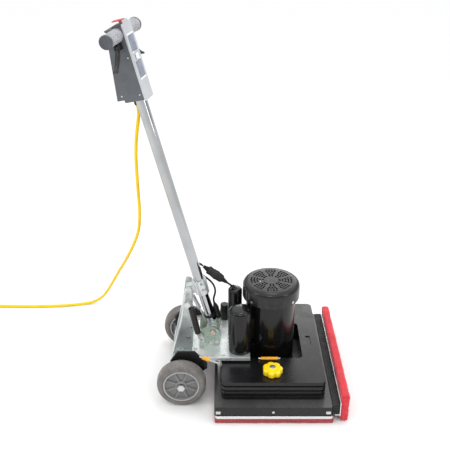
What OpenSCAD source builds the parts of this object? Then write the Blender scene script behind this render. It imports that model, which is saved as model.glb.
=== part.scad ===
// Rectangular orbital floor machine: a 14 by 20 inch pad driver, a vertical motor, stacked
// weights, a two-wheel trolley and a tilting handle with a control head and a mains cord.
// The origin is on the floor under the motor shaft. +X is forwards, +Z is up and the
// operator stands at -X, so the left side is +Y and the right side is -Y.

/* [Pad and driver] */
// Length of the floor pad along X
pad_x = 356; // [330:1:370]
// Width of the floor pad along Y
pad_y = 508; // [480:1:510]
// Thickness of the floor pad
pad_t = 16; // [12:1:16]
// Radius of the orbit of the pad driver
throw_r = 3; // [2:0.5:3]

/* [Weights] */
// Length of a weight plate along X
weight_x = 312; // [300:1:314]
// Width of a weight plate along Y
weight_y = 432; // [400:1:440]
// Thickness of one weight plate
weight_t = 16; // [12:1:16]

/* [Motor] */
// Outer radius of the motor housing
motor_r = 77; // [72:1:78]
// Outer radius of the fan cover
cover_r = 88.5; // [86:0.5:92]
// Height of the top of the fan cover
cover_top = 347; // [340:1:360]

/* [Trolley] */
// Radius of a trolley wheel
wheel_r = 75; // [70:1:75]
// Width of a trolley wheel
wheel_w = 45; // [38:1:46]
// Distance from the motor shaft back to the axle
axle_back = 277; // [275:1:290]

/* [Handle] */
// Backwards lean of the handle in its locked position, in degrees
lean = 14.6; // [12:0.1:16]
// Height of the bottom of the control head along the tube from its pivot
head_z = 760; // [740:1:780]
// Outer radius of the handle tube
tube_r = 16; // [15:0.5:16]
// Turn of the control head about the tube, in degrees
head_turn = 17; // [0:1:20]

/* [Hidden] */
$fn = 64;

// Clearance of a pin or shaft that turns in its bore
run = 0.06;

// Heights of the driver, the deck and the weights
driver_t = 10;
driver_top = pad_t + driver_t;
deck_x = 352;
deck_y = 500;
deck_wall = 4;
skirt_bottom = driver_top + 1;
deck_top = 58;
deck_t = 6;
isolator_r = 20;
isolator_x = 130;
isolator_y = 190;
stack_top = deck_top + 4 * weight_t;
weight_shift = 1;
cutout_front = 98;
cutout_y = 190;
stud_y = 168;
stud_r = 6;
knob_h = 22;
knob_floor = stack_top + 0.5;

// Motor
shaft_r = 8;
bell_bottom = deck_top;
housing_bottom = 84;
housing_top = 300;
housing_wall = 5;
cover_bottom = 296;
cover_wall = 2;
crank_bottom = driver_top + 1;
crank_top = 44;
bearing_r = 20;
hub_top = 42;
start_can = [-112, 8];
run_can = [-97, -73];
can_start_r = 22;
can_run_r = 35;

// Trolley
plate_top = 140;
plate_t = 6;
plate_half = 118;
plate_back = -246;
rear_x = -312;
plate_front = -66;
side_t = 6;
axle_r = 8;
track = 155.5;
hub_r = 57;
upright_gap = 32;
upright_t = 5;
lock_x = -258;
lock_z = 300;
sector_gap = 44;
sector_t = 5;
sector_r = 34;
lever_x = -217;
lever_z = 162;
lever_y = -51;
latch_x = -160;
latch_z = 128;

// Handle
pivot_x = -182;
pivot_z = 188;
pin_r = 6;
tube_wall = 2.5;
head_w = 51;
head_h = 197;
grip_z = 180;
grip_x = 3;
grip_r = 18.3;
grip_end = 97;
trigger_y = 35.5;
trigger_z = 150;
paddle_x = 19;
paddle_z = 209;
gland_x = -24;
gland_y = 14;
gland_len = 20;

// Mains cord: its radius, its coil and the points it passes through
cord_r = 5;
coil_x = -1180;
coil_y = 273;
coil_out = 110;
coil_turns = 5;
coil_layers = 5;
plug_r = 16;
DROP = [
  [-386.8, 20.4, 899.3], [-384.2, 20.6, 886], [-384.3, 21, 871], [-387, 21.8, 852],
  [-391.5, 23.5, 825], [-396.5, 27, 790], [-400.3, 33, 746], [-402.8, 46, 690],
  [-405, 70, 599], [-408, 95, 531], [-418, 125, 462],
  [-438, 158, 398], [-478, 217, 303], [-522, 281, 210], [-562, 340, 123],
  [-585, 370, 77], [-605, 391, 44], [-628, 403, 20], [-654, 404, 8], [-679, 400, 5]
];
FLOOR = [
  [-681, 400, 5], [-715, 392, 5], [-763, 385, 5], [-812, 382, 5], [-880, 380, 5],
  [-960, 381, 5], [-1040, 383, 5], [-1110, 383, 5], [-1180, 383, 5]
];

// Motor lead: its radius and the points of its slack loop
lead_r = 3.2;
LOOP = [
  [-174.4, 0, 256], [-178.3, 0, 268], [-179.3, -0.5, 280], [-176.5, -1.5, 293], [-174, -1, 306],
  [-176, 3, 319], [-182.5, 8.5, 330], [-192.3, 15.2, 338], [-203.3, 20.8, 344.5],
  [-214.4, 25, 350.2], [-225.2, 27.3, 355.4], [-235.8, 27.8, 360.8], [-243, 27.3, 367.2],
  [-246, 26.6, 376], [-244.1, 25.4, 385], [-237.8, 23.9, 391.9], [-228.9, 21.8, 394.8],
  [-219.6, 19.9, 392.9], [-211.9, 17.8, 387.4]
];
lead_in = [-114, 8, 307];
plug_end = [-210.5, 17.5, 386.5];
socket_end = [-138, 3, 337];

function arc(cx, cy, r, a0, a1, n) =
  [for (i = [0:n]) [cx + r * cos(a0 + (a1 - a0) * i / n), cy + r * sin(a0 + (a1 - a0) * i / n)]];

function round_rect(w, d, r, n = 5) = concat(
  arc(w / 2 - r, d / 2 - r, r, 0, 90, n),
  arc(r - w / 2, d / 2 - r, r, 90, 180, n),
  arc(r - w / 2, r - d / 2, r, 180, 270, n),
  arc(w / 2 - r, r - d / 2, r, 270, 360, n)
);

// Points along a Catmull-Rom curve through the listed points, n to each stretch
function curve(p, n) = concat(
  [for (i = [0:len(p) - 2]) for (k = [0:n - 1])
    let (a = p[max(i - 1, 0)], b = p[i], c = p[i + 1], d = p[min(i + 2, len(p) - 1)], t = k / n)
    0.5 * (2 * b + (c - a) * t + (2 * a - 5 * b + 4 * c - d) * t * t
      + (3 * b - a - 3 * c + d) * t * t * t)],
  [p[len(p) - 1]]
);

function unit(v) = v / norm(v);

// A round tube of radius r with its rings at the points of path
module sweep(path, r, sides) {
  last = len(path) - 1;
  rings = [for (i = [0:last])
    let (t = unit(path[min(i + 1, last)] - path[max(i - 1, 0)]),
      u = unit(cross(t, abs(t[1]) < 0.8 ? [0, 1, 0] : [1, 0, 0])), v = cross(t, u))
    [for (k = [0:sides - 1]) path[i] + r * (cos(360 * k / sides) * u + sin(360 * k / sides) * v)]];
  walls = [for (i = [0:last - 1]) for (k = [0:sides - 1])
    let (a = i * sides + k, b = i * sides + (k + 1) % sides)
    [a, b, b + sides, a + sides]];
  start = [for (k = [0:sides - 1]) sides - 1 - k];
  end = [for (k = [0:sides - 1]) last * sides + k];
  polyhedron([for (ring = rings) for (p = ring) p], concat([start], walls, [end]));
}

// A slab with rounded corners between two heights
module slab(w, d, r, z0, z1) {
  translate([0, 0, z0]) linear_extrude(z1 - z0) polygon(round_rect(w, d, r));
}

// A solid can with a rounded top edge
module can(r, h, e) {
  rotate_extrude() polygon(concat([[0, 0], [r, 0]], arc(r - e, h - e, e, 0, 90, 5), [[0, h]]));
}

module ring(r_out, r_in, z0, z1) {
  translate([0, 0, z0]) difference() {
    cylinder(r = r_out, h = z1 - z0);
    translate([0, 0, -1]) cylinder(r = r_in, h = z1 - z0 + 2);
  }
}

// A flat plate in the XZ plane between y0 and y1, from its outline
module side_sheet(outline, y0, y1) {
  translate([0, y1, 0]) rotate([90, 0, 0]) linear_extrude(y1 - y0) polygon(outline);
}

// A bar along Y between y0 and y1
module cross_bar(x, z, r, y0, y1, n = 64) {
  translate([x, y1, z]) rotate([90, 0, 0]) cylinder(r = r, h = y1 - y0, $fn = n);
}

// A bar from one point to another, with a radius at each end
module bar(a, b, r0, r1) {
  d = b - a;
  translate(a)
    rotate([0, acos(d[2] / norm(d)), atan2(d[1], d[0])]) cylinder(r1 = r0, r2 = r1, h = norm(d));
}

module mirrored() {
  children();
  mirror([0, 1, 0]) children();
}

module on_handle() {
  translate([pivot_x, 0, pivot_z]) rotate([0, -lean, 0]) children();
}

module on_head() {
  on_handle() translate([0, 0, head_z]) rotate([0, 0, -head_turn]) children();
}

// Pad driver

module floor_pad() {
  color("crimson") translate([throw_r, 0, 0]) slab(pad_x, pad_y, 6, 0, pad_t);
}

module driver_plate() {
  color("silver") translate([throw_r, 0, 0]) {
    slab(deck_x, deck_y + 4, 8, pad_t, driver_top);
    ring(34, bearing_r, driver_top, hub_top);
  }
}

module driver_bearing() {
  color("lightsteelblue") translate([throw_r, 0, 0]) ring(bearing_r, 10, 28, 40);
}

// Crank: the motor shaft with its eccentric and counterweight

module crank_shaft() {
  color("slategray") {
    translate([throw_r, 0, crank_bottom]) cylinder(r = 10 - run, h = crank_top - crank_bottom);
    translate([0, 0, crank_top - 2]) cylinder(r = shaft_r, h = 312 - crank_top + 2);
    translate([0, 0, crank_top]) intersection() {
      cylinder(r = 30, h = 6);
      translate([-40, -40, 0]) cube([48, 80, 6]);
    }
  }
}

module rotor() {
  color("dimgray") ring(40, shaft_r, 110, 260);
}

module cooling_fan() {
  color("black") {
    ring(18, shaft_r, 303, 311);
    for (i = [0:6]) rotate([0, 0, i * 360 / 7]) translate([17, -1.5, 304]) cube([48, 3, 26]);
    ring(66, 17.5, 303, 304.5);
  }
}

// Deck and its trim

module deck() {
  color([0.07, 0.07, 0.08]) difference() {
    slab(deck_x, deck_y, 6, skirt_bottom, deck_top);
    slab(deck_x - 2 * deck_wall, deck_y - 2 * deck_wall, 3, skirt_bottom - 1, deck_top - deck_t);
    translate([0, 0, deck_top - deck_t - 1]) cylinder(r = 36, h = deck_t + 2);
    mirrored() translate([0, stud_y, deck_top - deck_t - 1]) cylinder(r = stud_r, h = deck_t + 2);
  }
}

module deck_isolators() {
  color([0.1, 0.1, 0.1]) for (x = [-isolator_x, isolator_x]) for (y = [-isolator_y, isolator_y])
    translate([x, y, driver_top + 0.4])
      cylinder(r = isolator_r, h = deck_top - deck_t - driver_top - 0.4);
}

module skirt_screws() {
  color("silver") mirrored() {
    cross_bar(0, 41, 4, deck_y / 2, deck_y / 2 + 2);
    for (x = [-164, 164]) translate([x - 7, deck_y / 2, 34]) cube([14, 1.5, 10]);
  }
}

module front_bracket() {
  color("silver") {
    translate([198, -247, 22]) cube([3, 494, 50]);
    translate([184, -247, 26]) cube([14, 494, 3]);
  }
}

module front_bumper() {
  color([0.08, 0.08, 0.08]) translate([deck_x / 2, -244, 29]) cube([22, 488, deck_top - 26]);
}

module front_pad() {
  color("red") translate([201, -245, 1]) cube([25, 490, 94]);
}

// Weights

module weight_sheet(z0, z1) {
  translate([weight_shift, 0, 0]) difference() {
    union() {
      slab(weight_x - 10, weight_y - 10, 12, z0, z0 + 5);
      slab(weight_x, weight_y, 16, z0 + 4, z1);
    }
    translate([cutout_front - weight_x / 2 - weight_shift, 0, 0])
      slab(weight_x, cutout_y, 12, z0 - 1, z1 + 1);
    mirrored() translate([-weight_shift, stud_y, z0 - 1])
      cylinder(r = stud_r + 0.5, h = z1 - z0 + 2);
  }
}

module weight_plates() {
  color([0.09, 0.09, 0.1]) for (i = [0:2])
    weight_sheet(deck_top + i * weight_t, deck_top + (i + 1) * weight_t - 0.6);
}

module top_weight_plate() {
  color([0.13, 0.13, 0.14]) difference() {
    weight_sheet(stack_top - weight_t, stack_top);
    translate([118, -22, stack_top - 3]) cube([14, 44, 4]);
  }
}

module weight_rods() {
  color("silver") {
    mirrored() translate([0, stud_y, deck_top - deck_t])
      cylinder(r = stud_r, h = knob_floor + knob_h + 3 - deck_top + deck_t);
    bar([-40, -104, stack_top + 5], [27, -104, stack_top + 5], 3, 3);
    for (x = [-37, 24]) translate([x, -104, stack_top]) cylinder(r = 2.9, h = 5);
    translate([latch_x - 6, -126, deck_top]) cube([8, 4, latch_z + 6 - deck_top]);
    cross_bar(latch_x, latch_z, 3, -139, -126);
  }
}

module weight_bar_sleeve() {
  color("goldenrod") difference() {
    bar([-33.5, -104, stack_top + 5], [20.5, -104, stack_top + 5], 5, 5);
    bar([-35, -104, stack_top + 5], [22, -104, stack_top + 5], 3, 3);
  }
}

module knob() {
  color("gold") translate([0, stud_y, knob_floor]) difference() {
    union() {
      cylinder(r = 24, h = knob_h - 4);
      for (i = [0:6]) rotate([0, 0, i * 360 / 7 - 90]) translate([22, 0, 4])
        cylinder(r = 9, h = knob_h - 8);
      cylinder(r = 12, h = knob_h);
    }
    translate([0, 0, -1]) cylinder(r = stud_r + run, h = knob_h + 2);
  }
}

module left_knob() {
  knob();
}

module right_knob() {
  mirror([0, 1, 0]) knob();
}

// Motor

module capacitor_seat(can, r) {
  a = atan2(can[1], can[0]);
  difference() {
    rotate([0, 0, a]) translate([motor_r - 6, -12, 170]) cube([norm(can) - motor_r, 24, 70]);
    translate([0, 0, 160]) cylinder(r = motor_r - 2, h = 100);
    translate([can[0], can[1], 160]) cylinder(r = r, h = 100);
  }
}

module motor_housing() {
  color([0.06, 0.06, 0.07]) {
    ring(motor_r, motor_r - housing_wall, housing_bottom, housing_top);
    capacitor_seat(start_can, can_start_r);
    capacitor_seat(run_can, can_run_r);
  }
}

module motor_end_bells() {
  color([0.09, 0.09, 0.1]) {
    difference() {
      union() {
        translate([0, 0, bell_bottom]) cylinder(r = 82, h = 8);
        translate([0, 0, bell_bottom + 8]) cylinder(r = motor_r, h = housing_bottom - bell_bottom - 8);
      }
      translate([0, 0, bell_bottom - 1]) cylinder(r = 34, h = 7);
      translate([0, 0, bell_bottom]) cylinder(r = shaft_r + 2, h = 40);
      translate([0, 0, 72]) cylinder(r = bearing_r, h = 13);
    }
    ring(motor_r - housing_wall, bearing_r, 270, 282);
    ring(bearing_r, shaft_r + run, 72, 84);
    ring(bearing_r, shaft_r + run, 270, 282);
  }
}

module stator() {
  color("peru") {
    ring(motor_r - housing_wall, 41.5, 120, 250);
    ring(68, 46, 104, 119.8);
    ring(68, 46, 250.2, 266);
  }
}

// Vent slots of one eighth of the fan cover: rows of small squares
VENTS = [[26, 2], [35, 2], [44, 3], [53, 4], [62, 4]];

module fan_cover() {
  color([0.16, 0.16, 0.17]) {
    difference() {
      translate([0, 0, cover_bottom]) rotate_extrude($fn = 96) polygon(concat(
        [[cover_r - cover_wall, 0], [cover_r, 0]],
        arc(cover_r - 16, cover_top - cover_bottom - 16, 16, 0, 90, 7),
        arc(cover_r - 16, cover_top - cover_bottom - 16, 16 - cover_wall, 90, 0, 7)
      ));
      for (a = [45:90:315]) rotate([0, 0, a]) translate([motor_r - 1, 0, 305])
        rotate([0, 90, 0]) cylinder(r = 2, h = 20, $fn = 6);
    }
    translate([0, 0, cover_top - cover_wall]) linear_extrude(cover_wall) difference() {
      circle(r = cover_r - 16, $fn = 96);
      for (s = [0:7]) for (row = VENTS) for (k = [0:row[1] - 1])
        rotate(s * 45 + (k - (row[1] - 1) / 2) * 500 / row[0]) translate([row[0], 0])
          circle(r = 4.4, $fn = 4);
    }
    for (a = [45:90:315]) rotate([0, 0, a]) difference() {
      translate([motor_r - 2, -4, 300]) cube([11.5, 8, 10]);
      translate([0, 0, 299]) cylinder(r = motor_r - 1, h = 12);
    }
  }
}

module capacitor_covers() {
  color([0.05, 0.05, 0.06]) {
    translate([start_can[0], start_can[1], plate_top]) difference() {
      can(can_start_r, 174, 8);
      translate([0, 0, -1]) can(can_start_r - 2, 173, 6);
    }
    translate([run_can[0], run_can[1], plate_top]) difference() {
      can(can_run_r, 151, 12);
      translate([0, 0, -1]) can(can_run_r - 2, 150, 10);
    }
  }
}

module capacitors() {
  color("gray") {
    translate([start_can[0], start_can[1], plate_top + 2]) can(14, 150, 2);
    translate([run_can[0], run_can[1], plate_top + 2]) can(25, 125, 3);
  }
}

module breaker_housing() {
  color([0.07, 0.07, 0.07]) translate([-145, 100, plate_top]) {
    can(14, 56, 3);
    ring(15, 14, 26, 34);
  }
}

// Trolley

module trolley_plate() {
  color([0.75, 0.78, 0.76]) {
    difference() {
      translate([plate_back, -plate_half, plate_top - plate_t])
        cube([plate_front - plate_back, 2 * plate_half, plate_t]);
      translate([0, 0, plate_top - plate_t - 1]) cylinder(r = motor_r + 6, h = plate_t + 2);
    }
    mirrored() translate([plate_back, plate_half - 4, plate_top - plate_t - 6])
      cube([plate_front - plate_back, 4, 6]);
    mirrored() translate([-150, 52, deck_top]) cube([62, 12, plate_top - plate_t - deck_top]);
    translate([rear_x, -plate_half, 90]) cube([plate_back + 6 - rear_x, 2 * plate_half, 6]);
    translate([plate_back, -plate_half, 96]) cube([6, 2 * plate_half, plate_top - 96 - plate_t]);
  }
}

SIDE = [[rear_x, 132], [-290, 166], [-236, 166], [-198, 122], [-198, 104], [-262, 58],
  [-290, 58], [rear_x, 86]];

module side_plates() {
  color([0.06, 0.06, 0.06]) mirrored() difference() {
    side_sheet(SIDE, plate_half, plate_half + side_t);
    cross_bar(-axle_back, wheel_r, axle_r, 100, 140);
  }
}

UPRIGHT = concat([[plate_back, 96]], arc(plate_back - 11, 330, 11, 0, 180, 8),
  [[-281, 235], [rear_x, 96]]);
FLANGE = [[rear_x, 96], [-281, 235], [-269.5, 318], [-265.5, 318], [-277, 235],
  [rear_x + 4.5, 96]];

module upright() {
  difference() {
    side_sheet(UPRIGHT, upright_gap, upright_gap + upright_t);
    cross_bar(lock_x, lock_z, 4 + run, 20, 60);
  }
  side_sheet(FLANGE, upright_gap + upright_t, upright_gap + upright_t + 26);
}

module uprights() {
  color([0.74, 0.77, 0.76]) mirrored() upright();
}

SECTOR = concat([[-160, plate_top], [-156, 172]], arc(-190, 172, sector_r, 0, 180, 16),
  [[-226, plate_top]]);

module sector_plates() {
  color([0.62, 0.68, 0.6]) mirrored() {
    difference() {
      side_sheet(SECTOR, sector_gap, sector_gap + sector_t);
      cross_bar(pivot_x, pivot_z, pin_r, 30, 60);
    }
    translate([-222, sector_gap - 14, plate_top]) cube([60, 14, 4]);
  }
  color("silver") cross_bar(lever_x, lever_z, 4, lever_y - 7, -sector_gap - sector_t);
}

module pivot_pin() {
  color("rosybrown") {
    cross_bar(pivot_x, pivot_z, pin_r, -51, 51);
    mirrored() cross_bar(pivot_x, pivot_z, 9, 49, 55, 6);
  }
}

module axle() {
  color("silver") {
    cross_bar(-axle_back, wheel_r, axle_r, -186, 186);
    mirrored() difference() {
      union() {
        cross_bar(-axle_back, wheel_r, 14, plate_half + side_t, track - wheel_w / 2 - 0.5);
        cross_bar(-axle_back, wheel_r, 12, track + wheel_w / 2 + 0.5, 185, 6);
      }
      cross_bar(-axle_back, wheel_r, axle_r, 100, 200);
    }
  }
}

module at_wheel(side) {
  translate([-axle_back, side * track, wheel_r]) rotate([side * -90, 0, 0]) children();
}

module tyre() {
  h = wheel_w / 2;
  rotate_extrude($fn = 96) polygon(concat(
    [[hub_r, -h]], arc(wheel_r - 7, 7 - h, 7, -90, 0, 4), arc(wheel_r - 7, h - 7, 7, 0, 90, 4),
    [[hub_r, h]]
  ));
}

module hub() {
  h = wheel_w / 2 - 1;
  difference() {
    translate([0, 0, -h]) cylinder(r = hub_r, h = 2 * h);
    translate([0, 0, -h - 1]) cylinder(r = axle_r + run, h = 2 * h + 2);
    for (z = [-h - 1, h - 9]) difference() {
      translate([0, 0, z]) cylinder(r = hub_r - 6, h = 10);
      translate([0, 0, z]) cylinder(r = 20, h = 10);
    }
  }
  for (z = [-h, h - 9]) for (i = [0:7]) rotate([0, 0, i * 45]) translate([19.5, -2, z])
    cube([hub_r - 25, 4, 7]);
}

module right_tyre() {
  color([0.45, 0.44, 0.43]) at_wheel(-1) tyre();
}

module right_hub() {
  color([0.38, 0.37, 0.37]) at_wheel(-1) hub();
}

module left_tyre() {
  color([0.45, 0.44, 0.43]) at_wheel(1) tyre();
}

module left_hub() {
  color([0.38, 0.37, 0.37]) at_wheel(1) hub();
}

// Locks and levers

module lock_pin() {
  color("silver") {
    cross_bar(lock_x, lock_z, 4, -62, -upright_gap);
    cross_bar(lock_x, lock_z, 9, -72, -62);
  }
}

LATCH_END = [-222, -132, 155];

module trolley_latch() {
  color("silver") difference() {
    union() {
      bar(LATCH_END, [latch_x - 2, -132, latch_z + 1], 3, 3);
      cross_bar(latch_x, latch_z, 7, -136, -128);
    }
    cross_bar(latch_x, latch_z, 3 + run, -140, -120);
  }
}

module latch_sleeve() {
  color("goldenrod") difference() {
    bar([-214, -132, 151.5], [-190, -132, 141.1], 5.5, 5.5);
    bar(LATCH_END, [latch_x - 2, -132, latch_z + 1], 3, 3);
  }
}

LEVER_LOW = [-227, -60, 188];
LEVER_HIGH = [-245, -60, 276];

module release_lever() {
  color("silver") {
    difference() {
      side_sheet([[-224, 154], [-208, 154], [-208, 170], [-221, 192], [-233, 192]],
        lever_y - 5, lever_y);
      cross_bar(lever_x, lever_z, 4 + run, -60, -45);
    }
    bar(LEVER_LOW, LEVER_HIGH, 4, 4);
    translate([-233, LEVER_LOW[1] - 2, 186]) cube([12, 6, 5]);
  }
}

module lever_grip() {
  color([0.12, 0.1, 0.1]) difference() {
    bar(LEVER_LOW + 0.05 * (LEVER_HIGH - LEVER_LOW), LEVER_HIGH + [-1.5, 0, 7], 9.5, 9.5);
    bar(LEVER_LOW, LEVER_HIGH, 4, 4);
  }
}

// Handle

module handle_yoke() {
  color([0.8, 0.8, 0.78]) on_handle() difference() {
    union() {
      translate([-14, -42, 10]) cube([28, 84, 7]);
      mirrored() translate([-14, 36, 0]) cube([28, 6, 12]);
      mirrored() translate([0, 42, 0]) rotate([90, 0, 0]) cylinder(r = 14, h = 6);
    }
    translate([0, 50, 0]) rotate([90, 0, 0]) cylinder(r = pin_r + run, h = 100);
  }
}

module handle_tube() {
  color("silver") on_handle() ring(tube_r, tube_r - tube_wall, 17, 850);
}

module tube_collar() {
  color([0.78, 0.8, 0.8]) on_handle() {
    difference() {
      union() {
        translate([0, 0, 120]) cylinder(r = 22, h = 48);
        translate([-44, -12, 130]) cube([44, 24, 28]);
      }
      translate([0, 0, 110]) cylinder(r = tube_r, h = 70);
    }
    for (z = [134, 154]) translate([10, 29, z]) rotate([90, 0, 0]) cylinder(r = 4, h = 12);
  }
}

module cable_boot() {
  color([0.05, 0.05, 0.05]) on_handle() {
    difference() {
      union() {
        translate([24.5, 0, 18]) cylinder(r = 8.5, h = 40);
        translate([24.5, 0, 58]) cylinder(r1 = 8.5, r2 = 5, h = 11.9);
      }
      translate([24.5, 0, 50]) cylinder(r = lead_r, h = 30);
    }
    ring(tube_r + 1.5, tube_r, 30, 38);
  }
}

module lead_loop() {
  color([0.04, 0.04, 0.04]) sweep(curve(LOOP, 3), lead_r, 8);
}

module lead_connectors() {
  color([0.05, 0.05, 0.05]) {
    d = socket_end - plug_end;
    p = [for (t = [0, 0.16, 0.2, 0.5, 0.52, 0.84, 1]) plug_end + t * d];
    bar(p[0], p[1], 5.5, 9);
    bar(p[1], p[3], 13, 14);
    bar(p[3], p[4], 15, 15);
    bar(p[4], p[5], 14, 12);
    bar(p[5], p[6], 9, 5.5);
    bar(socket_end, lead_in, lead_r, lead_r);
  }
}

// Control head

SHELL = [[22, 0], [22, head_h], [-30, head_h], [-30, 194], [-26, 191], [-58, 8], [-37, 8],
  [-36, 0]];
CAVITY = [[23, 3], [23, 193], [-22, 193], [-23, 187], [-54, 12], [-33, 11], [-33, 3]];

module head_side(outline, w) {
  translate([0, w / 2, 0]) rotate([90, 0, 0]) linear_extrude(w) polygon(outline);
}

module head_shell() {
  color([0.32, 0.34, 0.36]) on_head() {
    difference() {
      head_side(SHELL, head_w);
      head_side(CAVITY, head_w - 6);
      translate([0, 0, -5]) cylinder(r = tube_r, h = 20);
      translate([gland_x, gland_y, -5]) cylinder(r = 6, h = 20);
      translate([grip_x, 50, grip_z]) rotate([90, 0, 0]) cylinder(r = 9, h = 100);
    }
    difference() {
      head_side([[-15, head_h], [17, head_h], [17, 202.5], [-7, 203.5]], 28);
      translate([paddle_x - 8, -9.5, head_h + 4]) cube([20, 19, 20]);
    }
    mirrored() difference() {
      translate([13, 9.5, head_h]) cube([9, 4, 15]);
      translate([paddle_x, 20, paddle_z]) rotate([90, 0, 0]) cylinder(r = 1.5 + run, h = 40, $fn = 24);
    }
  }
}

module head_cover() {
  color([0.72, 0.74, 0.77]) on_head() difference() {
    union() {
      head_side([[22, -3], [27.5, -3], [27.5, 204], [22, 204]], head_w);
      head_side([[22, 204], [27.5, 204], [26.5, 212], [22, 212]], 28);
    }
    translate([26.5, -17, 128]) cube([2, 34, 46]);
    translate([26.5, -17, 56]) cube([2, 34, 46]);
  }
}

module label_panels() {
  color([0.62, 0.65, 0.7]) on_head() {
    for (z = [128, 56]) translate([26.5, -16.5, z + 0.5]) cube([0.6, 33, 45]);
    translate([27.5, -8, 107]) cube([2, 16, 15]);
  }
}

module head_grips() {
  color([0.66, 0.67, 0.7]) on_head() translate([grip_x, 0, grip_z]) mirrored() {
    translate([0, head_w / 2, 0]) rotate([-90, 0, 0]) ring(grip_r, 9, 0, grip_end - 7 - head_w / 2);
    translate([0, grip_end - 7, 0]) rotate([-90, 0, 0]) can(grip_r + 0.7, 7, 2);
  }
}

module grip_frame() {
  color([0.08, 0.08, 0.08]) on_head() {
    translate([grip_x, grip_end - 7, grip_z]) rotate([90, 0, 0]) cylinder(r = 9, h = 2 * grip_end - 14);
    mirrored() {
      translate([-9, head_w / 2, trigger_z - 6]) cube([18, 3, 16]);
      for (x = [-9, 5]) difference() {
        translate([x, head_w / 2, trigger_z - 6]) cube([4, 17, 16]);
        translate([-20, trigger_y, trigger_z]) rotate([0, 90, 0]) cylinder(r = 3, h = 40);
      }
      translate([-10, trigger_y, trigger_z]) rotate([0, 90, 0]) cylinder(r = 3, h = 20);
    }
  }
}

module power_switch() {
  color("gray") on_head() {
    translate([-22, -15, 97]) cube([26, 30, 38]);
    translate([-14, -3, 135]) cube([6, 6, 22]);
  }
}

module trigger() {
  translate([0, trigger_y, trigger_z]) rotate([44, 0, 0]) difference() {
    union() {
      rotate([0, 90, 0]) translate([0, 0, -4.5]) cylinder(r = 6, h = 9);
      translate([-4.5, -4, -69]) cube([9, 8, 67]);
      translate([0, -4, -69]) rotate([-90, 0, 0]) cylinder(r = 8, h = 8);
    }
    rotate([0, 90, 0]) translate([0, 0, -10]) cylinder(r = 3 + run, h = 20);
  }
}

module left_trigger() {
  color([0.12, 0.12, 0.12]) on_head() trigger();
}

module right_trigger() {
  color([0.12, 0.12, 0.12]) on_head() mirror([0, 1, 0]) trigger();
}

module lockout_paddle() {
  color("firebrick") on_head() {
    translate([-9, -9, paddle_z + 2.2]) cube([29, 18, 2.8]);
    translate([paddle_x, 9, paddle_z]) rotate([90, 0, 0]) cylinder(r = 2.6, h = 18, $fn = 24);
    translate([paddle_x, 14, paddle_z]) rotate([90, 0, 0]) cylinder(r = 1.5, h = 28, $fn = 24);
  }
}

// Mains cord and its fittings

module cord_gland() {
  color("black") on_head() translate([gland_x, gland_y, 0]) {
    translate([0, 0, -gland_len]) cylinder(r1 = 6.4, r2 = 8, h = gland_len);
    cylinder(r = 6, h = 9);
  }
}

module cord_drop() {
  color("gold") sweep(curve(DROP, 3), cord_r, 10);
}

module cord_floor() {
  color("gold") sweep(curve(FLOOR, 3), cord_r, 10);
}

module cord_coil() {
  color("gold") translate([coil_x, coil_y, 0])
    ring(coil_out + cord_r, coil_out + cord_r - coil_turns * 2 * cord_r, 0, coil_layers * 2 * cord_r);
}

module cord_plug() {
  color("khaki") translate([coil_x - 20, coil_y - 88, coil_layers * 2 * cord_r + plug_r]) {
    rotate([0, 90, 0]) can(plug_r, 46, 4);
    for (y = [-6.5, 6.5]) translate([46, y - 0.8, 1]) cube([16, 1.6, 6.4]);
    translate([46, 0, -6]) rotate([0, 90, 0]) cylinder(r = 2.4, h = 18);
  }
}

floor_pad();
driver_plate();
driver_bearing();
crank_shaft();
rotor();
cooling_fan();
deck();
deck_isolators();
skirt_screws();
front_bracket();
front_bumper();
front_pad();
weight_plates();
top_weight_plate();
weight_rods();
weight_bar_sleeve();
right_knob();
left_knob();
motor_housing();
motor_end_bells();
stator();
fan_cover();
capacitor_covers();
capacitors();
breaker_housing();
trolley_plate();
side_plates();
uprights();
sector_plates();
pivot_pin();
axle();
right_tyre();
right_hub();
left_tyre();
left_hub();
lock_pin();
trolley_latch();
latch_sleeve();
release_lever();
lever_grip();
handle_yoke();
handle_tube();
tube_collar();
cable_boot();
lead_loop();
lead_connectors();
head_shell();
head_cover();
label_panels();
head_grips();
grip_frame();
power_switch();
right_trigger();
left_trigger();
lockout_paddle();
cord_gland();
cord_drop();
cord_floor();
cord_coil();
cord_plug();
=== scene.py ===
"""Looks of the orbital floor machine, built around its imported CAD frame. Lengths are in metres."""

import math
import random

import bmesh
import bpy
from mathutils import Matrix, Vector, noise


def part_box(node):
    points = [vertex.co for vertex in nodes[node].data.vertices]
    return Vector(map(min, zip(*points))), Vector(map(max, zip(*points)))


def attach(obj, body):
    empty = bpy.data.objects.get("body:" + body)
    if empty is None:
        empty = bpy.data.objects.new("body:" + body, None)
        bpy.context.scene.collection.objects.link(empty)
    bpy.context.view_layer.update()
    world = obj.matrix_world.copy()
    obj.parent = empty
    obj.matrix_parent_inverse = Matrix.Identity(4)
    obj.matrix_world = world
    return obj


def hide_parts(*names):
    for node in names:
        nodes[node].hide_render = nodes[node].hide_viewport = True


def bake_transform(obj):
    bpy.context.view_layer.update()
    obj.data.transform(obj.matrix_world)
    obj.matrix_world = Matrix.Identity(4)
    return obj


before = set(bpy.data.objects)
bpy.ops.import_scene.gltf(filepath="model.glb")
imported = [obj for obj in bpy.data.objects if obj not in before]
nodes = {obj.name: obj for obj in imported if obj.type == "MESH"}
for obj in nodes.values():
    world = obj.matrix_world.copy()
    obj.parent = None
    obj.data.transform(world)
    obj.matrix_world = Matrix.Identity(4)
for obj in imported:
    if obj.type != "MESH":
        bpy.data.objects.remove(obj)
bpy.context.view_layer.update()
random.seed(7)

MM = 0.001


def mm(x, y, z):
    """A point given in millimetres."""
    return Vector((x * MM, y * MM, z * MM))


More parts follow.
